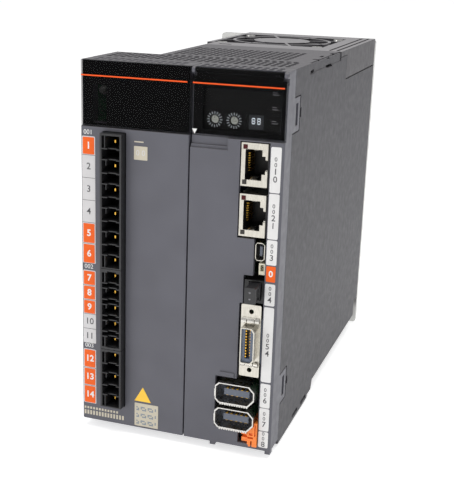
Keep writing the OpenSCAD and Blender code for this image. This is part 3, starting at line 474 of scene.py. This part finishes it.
# Left stickers: rows of each power header, as lower and upper edge, with the orange ones marked
POLE_X = (0.7, 6.9)
GROUPS = [
    (75.0, 131.8, [(123.8, 131.6, True), (113.8, 123.5, False), (103.9, 113.5, False),
                   (93.9, 103.6, False), (84.4, 93.5, True), (75.2, 84.0, True)]),
    (37.3, 71.9, [(65.0, 71.7, True), (58.2, 64.7, True), (51.5, 57.9, True),
                  (44.5, 51.2, False), (37.5, 44.2, False)]),
    (7.7, 34.5, [(25.5, 34.3, True), (16.8, 25.2, True), (7.9, 16.5, True)]),
]


def pole_stickers():
    """White backing per header, an orange cell on some rows and a number on each."""
    backs, cells, group_marks, light_marks, dark_marks, lines = [], [], [], [], [], []
    number = 0
    x0, x1 = POLE_X
    for group, (low, high, rows) in enumerate(GROUPS):
        backs.append((x0, x1, low, high))
        group_marks.append((f"00{group + 1}", x0 + 2.9, high + 1.7, 2.0, 0))
        for bottom, top, is_orange in rows:
            number += 1
            mark = (str(number), (x0 + x1) / 2, (bottom + top) / 2, 2.9, 0)
            (light_marks if is_orange else dark_marks).append(mark)
            lines.append((x0 + 0.1, x1 - 0.1, bottom - 0.22, bottom - 0.04))
            if is_orange:
                cells.append((x0 + 0.4, x1 - 0.4, bottom + 0.2, top - 0.2))
    cell_front = FRONT_Y - STICKER
    stickers("pole_stickers", backs, INKS["paper"], FRONT_Y)
    stickers("pole_cells", cells, INKS["orange"], cell_front, radius=0.35, thickness=INK)
    stickers("pole_lines", lines, INKS["dark"], cell_front, radius=0.05, thickness=INK)
    words("group_marks", group_marks, INKS["white"], FRONT_Y)
    words("pole_marks_light", light_marks, INKS["white"], cell_front - INK, bold=0.035)
    words("pole_marks_dark", dark_marks, INKS["dark"], cell_front, bold=0.01)


# Right stickers beside the signal sockets, as lower and upper edge
SOCKET_X = (84.5, 88.9)
SOCKET_ROWS = [(115.4, 134.2), (95.9, 115.0), (84.8, 95.5), (76.7, 77.2), (67.0, 76.6),
               (32.4, 66.3), (20.4, 31.6), (9.5, 20.1), (1.5, 9.1)]
# a row gets a sticker if it is higher than the first, and two large digits if higher than the second
STICKER_ROW = 2
TALL_ROW = 12
# lower and upper edge of the orange cell
SOCKET_CELL = (77.5, 84.3)


def stacked_digits(small, large, x, middle):
    """Upright digits one under another: small ones first, then large ones."""
    small_h, large_h = 1.7, 2.5
    steps = [(digit, small_h, small_h + 0.6) for digit in small]
    steps += [(digit, large_h, large_h + 0.7) for digit in large]
    z = middle + sum(step for _, _, step in steps) / 2
    marks = []
    for digit, height, step in steps:
        marks.append((digit, x, z - step / 2, height, 0))
        z -= step
    return marks[: len(small)], marks[len(small) :]


def socket_stickers():
    """One strip of stickers beside the sockets, with a stack of digits on each."""
    x0, x1 = SOCKET_X
    mid_x = (x0 + x1) / 2
    white = [row for row in SOCKET_ROWS if row[1] - row[0] > STICKER_ROW]
    stickers("socket_stickers", [(x0, x1, *row) for row in white], INKS["bright_paper"], FRONT_Y)
    stickers("socket_cell", [(x0 + 0.2, x1 - 0.2, *SOCKET_CELL)], INKS["orange"], FRONT_Y,
             radius=0.4)
    small_marks, large_marks = [], []
    for i, (low, high) in enumerate(white):
        large = f"{i + 1}{i}" if high - low > TALL_ROW else str(i + 1)
        small, large = stacked_digits("00", large, mid_x, (low + high) / 2)
        small_marks += small
        large_marks += large
    mark_front = FRONT_Y - STICKER
    cell_mark = ("0", mid_x, sum(SOCKET_CELL) / 2, 2.6, 0)
    words("socket_marks_small", small_marks, INKS["dark"], mark_front, bold=0.01)
    words("socket_marks", large_marks, INKS["dark"], mark_front, bold=0.015)
    words("socket_cell_mark", [cell_mark], INKS["white"], mark_front, bold=0.035)


def pattern_label():
    """Label with a grid of light and dark cells in a made-up, repeating order."""
    x0, x1, z0, z1 = 26.0, 37.4, 0.9, 12.1
    stickers("pattern_label", [(x0, x1, z0, z1)], INKS["beige"], FRONT_Y, radius=0.2)
    count = 14
    margin = 0.9
    cell = (x1 - x0 - 2 * margin) / count
    cells = []
    for column in range(count):
        for row in range(count):
            if (column * column + 3 * row + column * row) % 5 in (0, 1):
                left = x0 + margin + column * cell
                low = z0 + margin + row * (z1 - z0 - 2 * margin) / count
                cells.append((left, left + cell * 0.9, low, low + cell * 0.9))
    stickers("pattern_cells", cells, INKS["faint"], FRONT_Y - STICKER, radius=0.02, thickness=INK)


# Rows of rating dashes, as lower edge, upper edge and right end; then where they start, and the
# width and pitch of a dash
DASH_ROWS = [(4.9, 6.0, 17.0), (2.1, 4.2, 20.4)]
DASH_X = 0.9
DASH_W = 0.9
DASH_PITCH = 1.45


def front_marks():
    """Rating patch and dashes, yellow triangle, and the mark of the finger recess."""
    stickers("rating_patch", [(24.9, 31.0, 123.6, 129.4)], INKS["beige"], FRONT_Y, radius=0.2)
    patch_front = FRONT_Y - STICKER
    words("rating_marks", [("0", 26.6, 126.5, 2.4, 0), ("0", 29.2, 126.5, 2.4, 0)], INKS["paper"],
          patch_front)
    stickers("rating_dash", [(25.0, 29.2, 131.0, 131.5)], INKS["beige"], FRONT_Y, radius=0.1,
             thickness=INK)
    dashes = []
    for low, high, right in DASH_ROWS:
        x = DASH_X
        while x < right:
            dashes.append((x, x + DASH_W, low, high))
            x += DASH_PITCH
    stickers("rating_dashes", dashes, INKS["beige"], FRONT_Y, radius=0.1, thickness=INK)
    mesh_data = bmesh.new()
    add_slab(mesh_data, [(33.9, 13.1), (29.9, 20.0), (25.9, 13.1)], patch_front, FRONT_Y)
    finish_piece("yellow_triangle", mesh_data, INKS["yellow"], "drive")
    mesh_data = bmesh.new()
    add_slab(mesh_data, [(52.8, 138.9), (50.6, 138.9), (51.7, 136.8)], FRONT_Y - INK, FRONT_Y)
    finish_piece("pull_mark", mesh_data, INKS["white"], "display_cover")


def add_frame(mesh_data, outer, inner, front, back):
    """A flat frame between two rectangles, each x0, x1, z0, z1."""
    x0, x1, z0, z1 = outer
    left, right, low, high = inner
    bars = [(x0, x1, z0, low), (x0, x1, high, z1), (x0, left, low, high), (right, x1, low, high)]
    for bar in bars:
        add_slab(mesh_data, rectangle(*bar), front, back)


def add_core(mesh_data, x0, x1, sides=16):
    """A black core inside the round edge that the display cover turns about."""
    rings = []
    for x in (x0, x1):
        ring = []
        for i in range(sides):
            a = 2 * math.pi * i / sides
            point = at(x, HINGE_Y + CORE_R * math.cos(a), HINGE_Z + CORE_R * math.sin(a))
            ring.append(mesh_data.verts.new(point))
        rings.append(ring)
    for i in range(sides):
        j = (i + 1) % sides
        mesh_data.faces.new([rings[0][i], rings[0][j], rings[1][j], rings[1][i]])
    mesh_data.faces.new(rings[0])
    mesh_data.faces.new(rings[1])


# Clear parts of the window and of the display cover, as x0, x1, z0, z1
CLEAR_PARTS = {
    "charge_window": (5.4, 11.4, 137.5, 153.6),
    "display_cover": (54.6, 87.6, 138.9, 155.6),
}


def window_backings():
    """Black printing on the back of the window and of the display cover, round their clear parts."""
    front = WINDOW_BACK - FILM
    for name, clear in CLEAR_PARTS.items():
        low, high = box_mm(name)
        is_cover = name == "display_cover"
        top = HINGE_Z - 2.4 if is_cover else high.z - 0.4
        mesh_data = bmesh.new()
        outer = (low.x + 0.6, high.x - 0.6, low.z + 0.4, top)
        add_frame(mesh_data, outer, clear, front, WINDOW_BACK)
        if is_cover:
            left, right = low.x + 1.8, high.x - 2.0
            upper = rectangle(left, right, top, HINGE_Z - 0.6)
            add_slab(mesh_data, upper, front, WINDOW_BACK)
            add_core(mesh_data, left, right)
        finish_piece(name + "_backing", mesh_data, INKS["backing"], name if is_cover else "drive")


def ribbon_springs():
    """Stamped spring bars above and below the ribbon socket's shell, each with three bumps."""
    low, high = box_mm("ribbon_shell")
    left, right = low.x - 1.0, high.x + 0.7
    mesh_data = bmesh.new()
    for edge, out in ((high.z, 1), (low.z, -1)):
        foot, rim = edge + out * 3.0, edge + out * 0.7
        path = [(-0.02, foot), (-0.5, foot - out * 0.2), (-1.1, edge + out * 1.9),
                (-1.2, edge + out * 1.2), (-0.9, rim)]
        bumps = [(left, low.x + 1.2), (low.x + 1.6, high.x - 1.6), (high.x - 1.2, right)]
        for x0, x1 in bumps:
            add_strip(mesh_data, path, x0, x1, 0.2)
        flange = [(-0.02, foot + out * 0.1), (-0.35, foot), (-0.35, foot - out * 0.6)]
        add_strip(mesh_data, flange, left, right, 0.15)
    finish_piece("ribbon_springs", mesh_data, INKS["spring"], "drive")


# Springs at a jack's opening: height above the shield's foot, side that they bend to and x range
JACK_EDGES = [(15.25, -1, 77.1, 79.2), (2.85, 1, 75.8, 78.7)]
JACK_FINGERS = [(11.3, -1, 82.3, 83.1), (6.9, 1, 82.3, 83.1)]
JACK_SHEET = 0.16
# their bends, as depth behind the shield's front and distance inward
EDGE_BENDS = [(0, 0), (0.5, 0.25), (1.6, 0.6), (3.4, 0.75), (5.5, 0.3)]
FINGER_BENDS = [(0, 0), (0.4, 0.3), (1.4, 0.45), (3.0, 0.1)]


def jack_springs():
    """Grounding springs at both edges of each jack's opening, and the fingers beside its latch."""
    mesh_data = bmesh.new()
    for name in ("upper_jack_shield", "lower_jack_shield"):
        low = box_mm(name)[0]
        front = low.y + 0.2
        for springs, bends in ((JACK_EDGES, EDGE_BENDS), (JACK_FINGERS, FINGER_BENDS)):
            for height, inward, x0, x1 in springs:
                path = [(front + depth, low.z + height + inward * bend) for depth, bend in bends]
                add_strip(mesh_data, path, x0, x1, JACK_SHEET)
    finish_piece("jack_springs", mesh_data, INKS["spring"], "drive")


def plug_dots():
    """Two light dots on the front of the short plug."""
    low, high = box_mm("short_circuit_plug")
    x = (low.x + high.x) / 2
    dots = [(x - 0.45, x + 0.45, z - 0.35, z + 0.35) for z in (low.z + 2.3, high.z - 2.1)]
    stickers("plug_dots", dots, INKS["mid"], low.y, body="short_circuit_plug", radius=0.2,
             thickness=INK)


# Ticks round a rotary switch: how many, their ends from its axis, and half their width
TICKS = 16
TICK_NEAR = 2.2
TICK_FAR = 3.3
TICK_HALF = 0.13
# Digits of the display: left edges, bottom, size, and width of the bars
DIGIT_LEFTS = (74.9, 77.2)
DIGIT_Z = 142.2
DIGIT_W = 1.2
DIGIT_H = 2.1
BAR = 0.36
# Small printed lines at the right of the display, long and short by turns
LINE_X = 83.2
LINE_W = 2.6
LINE_SHORTER = 0.7
LINE_H = 0.4
LINE_ZS = (142.7, 143.6, 148.3, 149.2, 154.2, 155.1)


def switch_ticks(face):
    """Ticks printed round both rotary switches."""
    mesh_data = bmesh.new()
    for name in ("address_knob_left", "address_knob_right"):
        low, high = box_mm(name)
        middle = Vector(((low.x + high.x) / 2, (low.z + high.z) / 2))
        for i in range(TICKS):
            a = math.radians(i * 360 / TICKS)
            across = Vector((math.cos(a), math.sin(a)))
            side = Vector((-across.y, across.x)) * TICK_HALF
            near, far = middle + across * TICK_NEAR, middle + across * TICK_FAR
            outline = [near - side, far - side, far + side, near + side]
            add_slab(mesh_data, [(p.x, p.y) for p in outline], face - INK, face)
    finish_piece("switch_ticks", mesh_data, INKS["tick"], "drive")


def display_digits():
    """Lit bars of the two digits."""
    mesh_data = bmesh.new()
    front = box_mm("segment_display")[0].y
    half = BAR / 2
    for left in DIGIT_LEFTS:
        right = left + DIGIT_W
        middles = [DIGIT_Z + DIGIT_H * k / 2 for k in range(3)]
        bars = [(left, right, z - half, z + half) for z in middles]
        for z in middles[:2]:
            for x in (left, right):
                bars.append((x - half, x + half, z + BAR, z + DIGIT_H / 2 - BAR))
        for bar in bars:
            add_slab(mesh_data, rectangle(*bar), front - INK, front)
    finish_piece("display_digits", mesh_data, INKS["segment"], "drive")


def display_marks():
    """Ticks, digits and small lines behind the smoked cover."""
    face = box_mm("display_bezel")[0].y
    switch_ticks(face)
    display_digits()
    lines = [(LINE_X, LINE_X + LINE_W - LINE_SHORTER * (i % 2), z, z + LINE_H)
             for i, z in enumerate(LINE_ZS)]
    stickers("display_lines", lines, INKS["mid"], face, radius=0.1, thickness=INK)


pole_stickers()
socket_stickers()
pattern_label()
front_marks()
display_marks()
window_backings()
ribbon_springs()
jack_springs()
plug_dots()

# ---------------------------------------------------------------- floor, light and camera


def studio():
    """A pale floor under the drive and soft light from above and both sides."""
    low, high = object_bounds()
    mesh_data = bmesh.new()
    floor_half = 14.0
    corners = [(-floor_half, -floor_half), (floor_half, -floor_half), (floor_half, floor_half),
               (-floor_half, floor_half)]
    mesh_data.faces.new([mesh_data.verts.new((x, y, Vector(low).z)) for x, y in corners])
    mesh = bpy.data.meshes.new("floor")
    mesh_data.to_mesh(mesh)
    mesh_data.free()
    paper = moulded("floor_paper", "e8e8e8", 0.9, grain=1, depth=0.01, blotch=80, shading=0.01,
                    Emission_Color=(1, 1, 1, 1), Emission_Strength=0.6)
    mesh.materials.append(paper)
    floor = bpy.data.objects.new("floor", mesh)
    bpy.context.scene.collection.objects.link(floor)
    floor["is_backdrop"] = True
    world = bpy.data.worlds.new("studio")
    world.use_nodes = True
    world.node_tree.nodes["Background"].inputs["Color"].default_value = (1, 1, 1, 1)
    world.node_tree.nodes["Background"].inputs["Strength"].default_value = 0.5
    bpy.context.scene.world = world
    # name, place and size in metres, power in watts
    lamps = [("top_box", (0.1, -0.1, 1.2), 1.2, 12.0), ("right_box", (1.3, -0.5, 0.6), 0.8, 0.3),
             ("left_box", (-1.0, -1.1, 0.5), 0.8, 4.5)]
    target = (Vector(low) + Vector(high)) / 2
    for name, place, size, power in lamps:
        light = bpy.data.lights.new(name, "AREA")
        light.size = size
        light.energy = power
        lamp = bpy.data.objects.new(name, light)
        lamp.location = place
        lamp.rotation_euler = (target - Vector(place)).to_track_quat("-Z", "Y").to_euler()
        bpy.context.scene.collection.objects.link(lamp)


def photo_camera():
    """The camera of the front view."""
    right = Vector((0.94131, 0.3366, 0.02518))
    up = Vector((-0.11843, 0.25948, 0.95846))
    back = Vector((0.31608, -0.90519, 0.28412))
    lens = bpy.data.cameras.new("camera")
    lens.lens = 72.74
    lens.sensor_width = 36
    lens.shift_x = 0.05
    lens.clip_start = 0.01
    camera = bpy.data.objects.new("camera", lens)
    place = Matrix((right, up, back)).transposed().to_4x4()
    place.translation = at(190.88, -385.44, 208.66)
    camera.matrix_world = place
    bpy.context.scene.collection.objects.link(camera)
    bpy.context.scene.camera = camera


studio()
photo_camera()
bpy.context.scene.view_settings.view_transform = "Standard"
